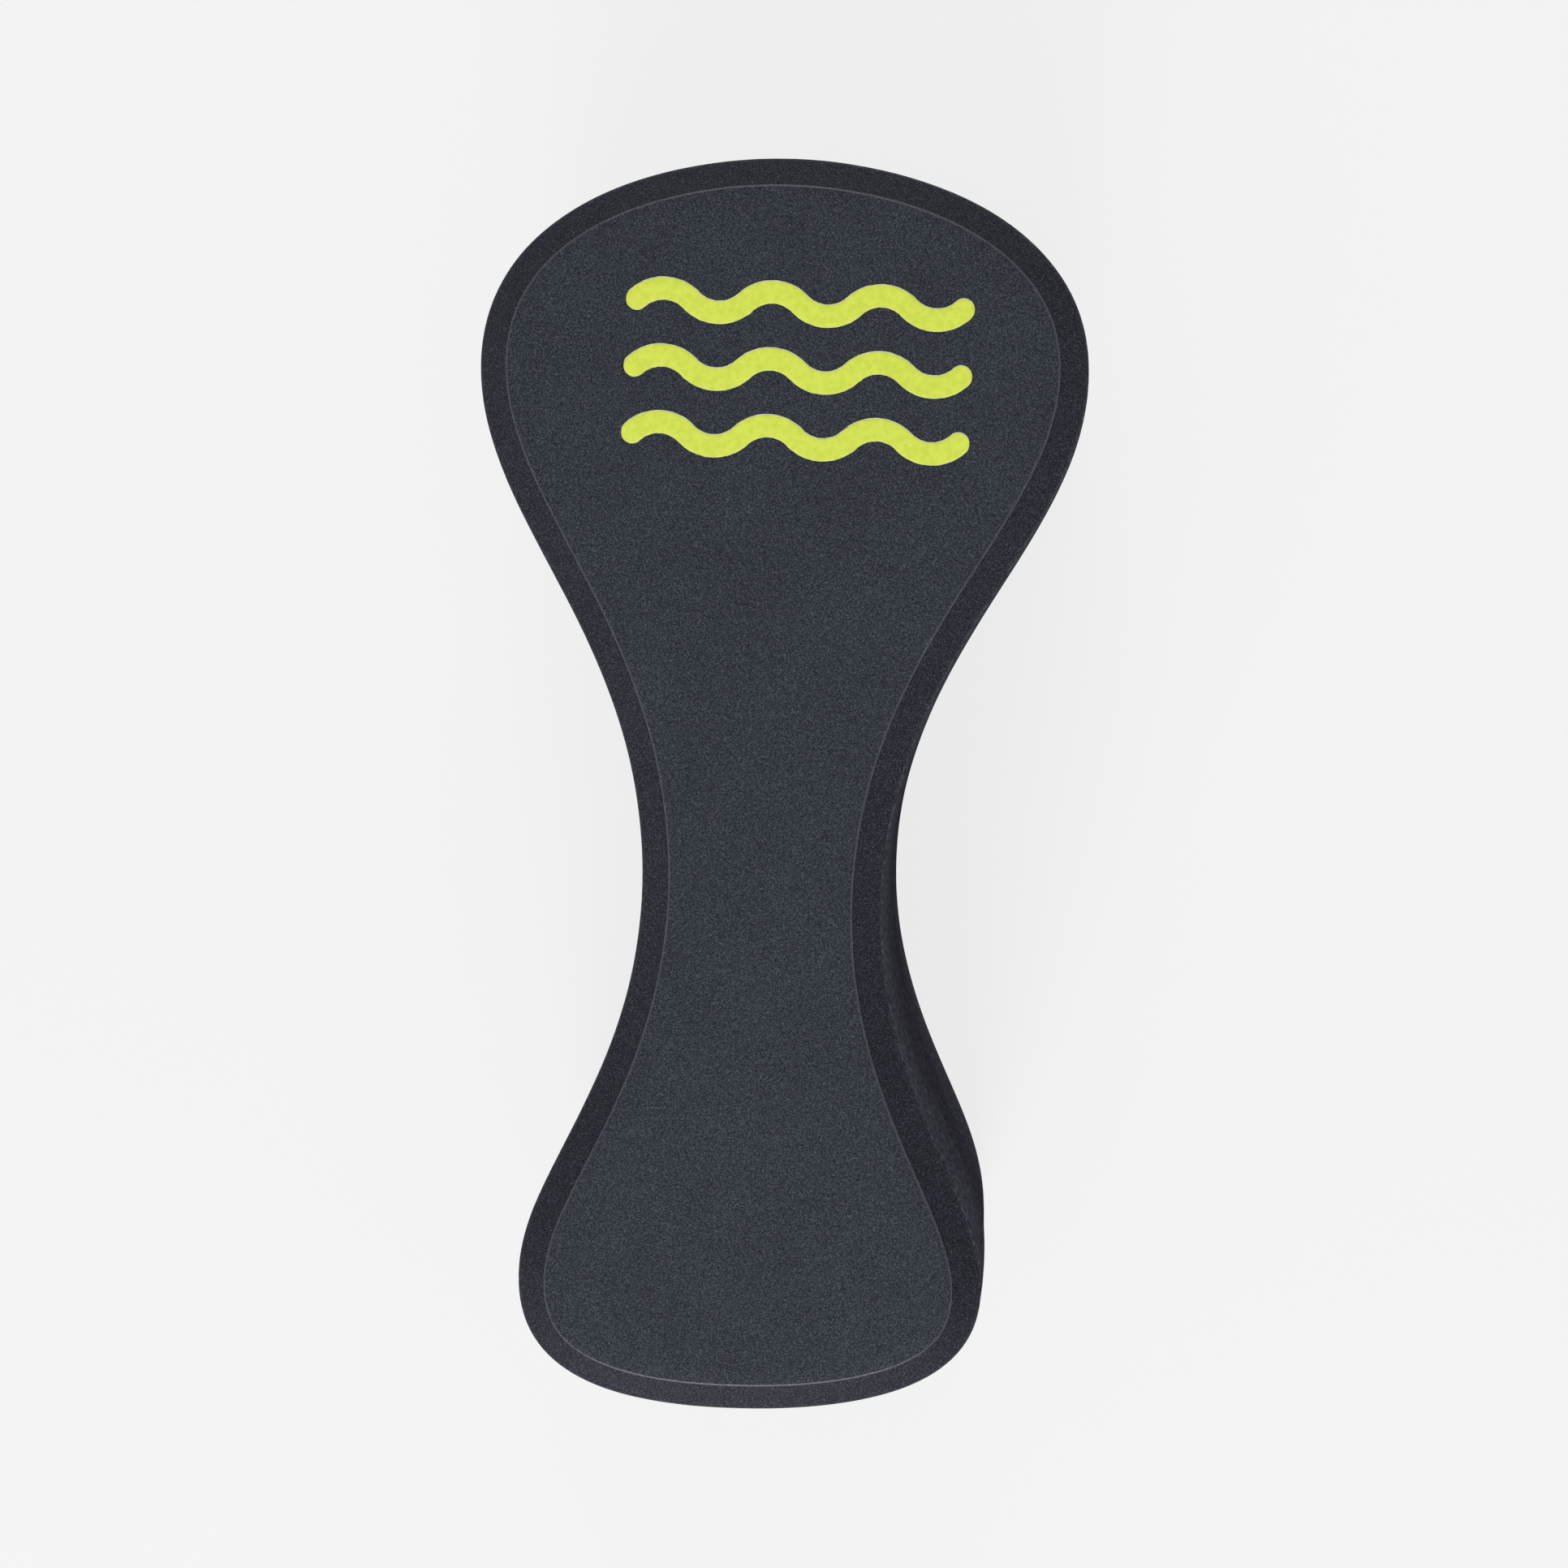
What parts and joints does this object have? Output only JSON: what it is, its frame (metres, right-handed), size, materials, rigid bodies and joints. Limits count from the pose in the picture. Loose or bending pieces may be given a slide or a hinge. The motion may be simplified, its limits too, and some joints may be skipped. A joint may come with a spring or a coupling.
{
  "type": "pull buoy",
  "caption": "Figure-of-eight swimming float laminated from EVA foam sheets, with bevelled rims on both faces, gripped at its narrow waist, and a printed wave mark.",
  "frame": {"origin": "middle of the rear face's bounding rectangle; the buoy lies on its rear face", "axes": "+Y up the long axis towards the larger lobe, +X across the lobes, +Z out of the printed front face"},
  "size_m": [0.1158, 0.24, 0.1496],
  "materials": {
    "foam": "closed-cell EVA foam, matte, charcoal with a slight blue cast and a fine skin grain",
    "core_foam": "closed-cell EVA foam, cut and buffed edge, matte charcoal",
    "adhesive": "dry contact adhesive, dark, thin line",
    "print_white": "white screen-print undercoat, satin",
    "print_lime": "lime screen-print colour, satin"
  },
  "bodies": {
    "root": {"front_face_sheet": "foam", "rear_face_sheet": "foam", "front_core_sheet": "core_foam", "rear_core_sheet": "core_foam", "front_bond": "adhesive", "middle_bond": "adhesive", "rear_bond": "adhesive", "stripe_undercoat_1": "print_white", "stripe_undercoat_2": "print_white", "stripe_undercoat_3": "print_white", "stripe_colour_1": "print_lime", "stripe_colour_2": "print_lime", "stripe_colour_3": "print_lime"}
  },
  "joints": []
}
